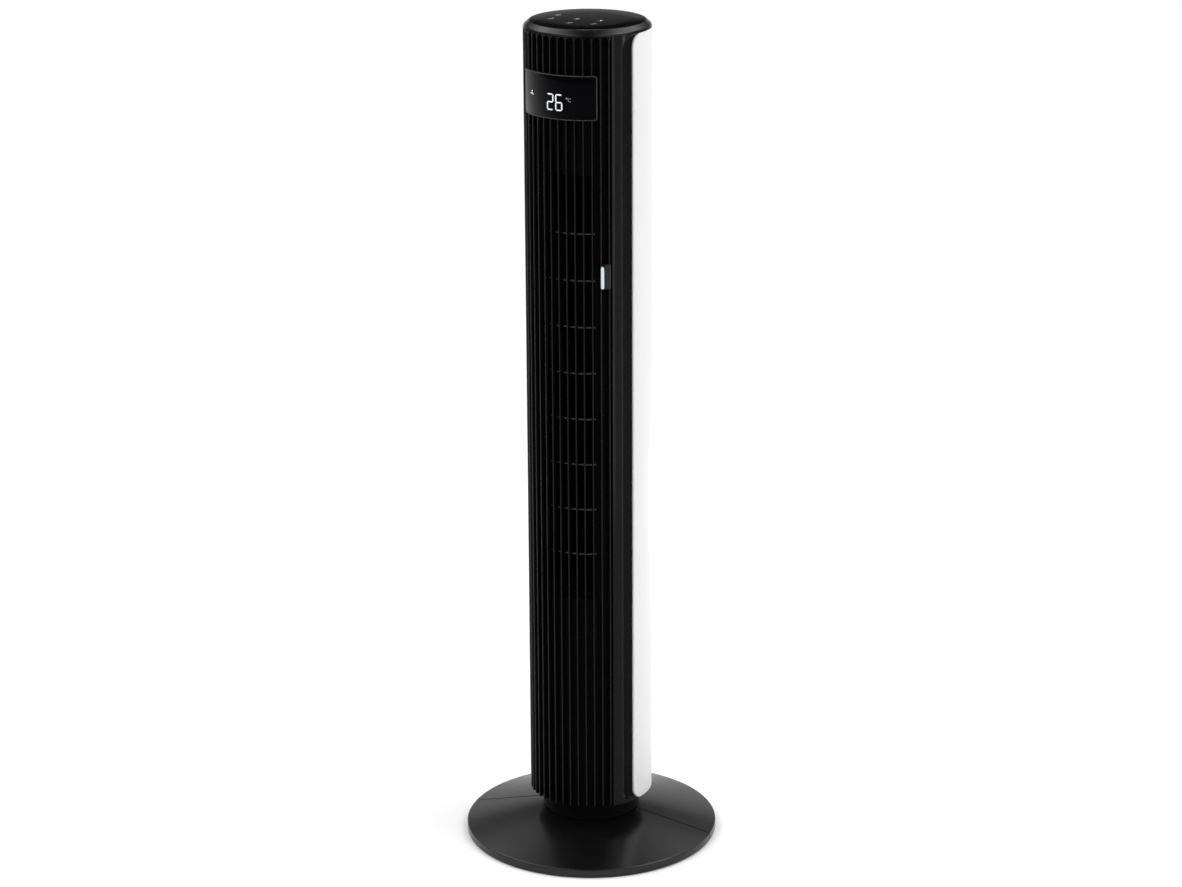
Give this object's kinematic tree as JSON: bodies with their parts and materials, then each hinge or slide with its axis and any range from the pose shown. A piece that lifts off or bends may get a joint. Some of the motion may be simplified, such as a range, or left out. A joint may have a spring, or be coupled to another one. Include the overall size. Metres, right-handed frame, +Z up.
{
  "type": "tower fan",
  "caption": "Slim oscillating tower fan: ribbed black column with a curved display and white rear shell, on a round two-piece base.",
  "frame": {"origin": "on the floor, under the middle of the round base", "axes": "+Z up along the column; -Y is the way the column's front faces at rest"},
  "size_m": [0.2796, 0.2796, 0.92],
  "materials": {
    "black_plastic": "satin, fine spark-eroded texture",
    "black_grille_plastic": "satin moulded",
    "white_plastic": "satin, fine texture",
    "gloss_black": "polished",
    "grey_plastic": "satin",
    "pale_blue_light": "diffusing light guide",
    "acetal": "smooth, slightly waxy",
    "rubber": "matt",
    "steel": "ground",
    "zinc_steel": "zinc plated",
    "circuit_board": "solder resist"
  },
  "bodies": {
    "base": {"base_front_half": "black_plastic", "base_rear_half": "black_plastic", "foot_1": "rubber", "foot_2": "rubber", "foot_3": "rubber", "foot_4": "rubber", "foot_5": "rubber", "foot_6": "rubber", "base_screw_1": "zinc_steel", "base_screw_2": "zinc_steel", "base_screw_3": "zinc_steel", "base_screw_4": "zinc_steel", "neck_collar": "black_plastic", "oscillation_gear": "acetal", "pivot_bush": "acetal", "pivot_washer": "acetal"},
    "column": {"turntable_plate": "black_grille_plastic", "pivot_retainer": "steel", "plate_screw_1": "zinc_steel", "plate_screw_2": "zinc_steel", "plate_screw_3": "zinc_steel", "plate_screw_4": "zinc_steel", "column_frame": "black_plastic", "front_grille": "black_grille_plastic", "rear_shell": "white_plastic", "rear_grille": "white_plastic", "rear_screw_1": "zinc_steel", "rear_screw_2": "zinc_steel", "rear_screw_3": "zinc_steel", "rear_screw_4": "zinc_steel", "top_panel": "gloss_black", "touch_board": "circuit_board", "display_window": "gloss_black", "display_module": "grey_plastic", "display_board": "circuit_board", "side_light_housing": "grey_plastic", "side_light_guide": "pale_blue_light", "scroll_wall": "black_grille_plastic", "stabiliser_wall": "black_grille_plastic", "motor_deck": "black_grille_plastic", "fan_motor": "zinc_steel", "upper_deck": "black_grille_plastic", "shaft_bush": "acetal", "main_board": "circuit_board", "power_socket": "black_grille_plastic", "oscillation_motor": "zinc_steel"},
    "impeller": {"impeller": "black_grille_plastic", "impeller_shaft": "steel", "drive_hub": "rubber", "motor_shaft": "steel"},
    "pinion": {"oscillation_pinion": "acetal", "oscillation_motor_shaft": "steel"}
  },
  "joints": [
    {"name": "column_swing", "type": "hinge", "parent": "base", "child": "column", "pos_m": [0, 0, 0.051], "axis": [0, 0, 1], "range_deg": [-32.8, 57.2]},
    {"name": "impeller_spin", "type": "hinge", "parent": "column", "child": "impeller", "pos_m": [0, 0, 0.535], "axis": [0, 0, 1], "continuous": true},
    {"name": "pinion_turn", "type": "hinge", "parent": "column", "child": "pinion", "pos_m": [0.036, 0, 0.0425], "axis": [0, 0, 1], "range_deg": [-98.4, 171.6]}
  ],
  "couplings": [
    {"joint": "pinion_turn", "follows": "column_swing", "ratio": 3}
  ]
}
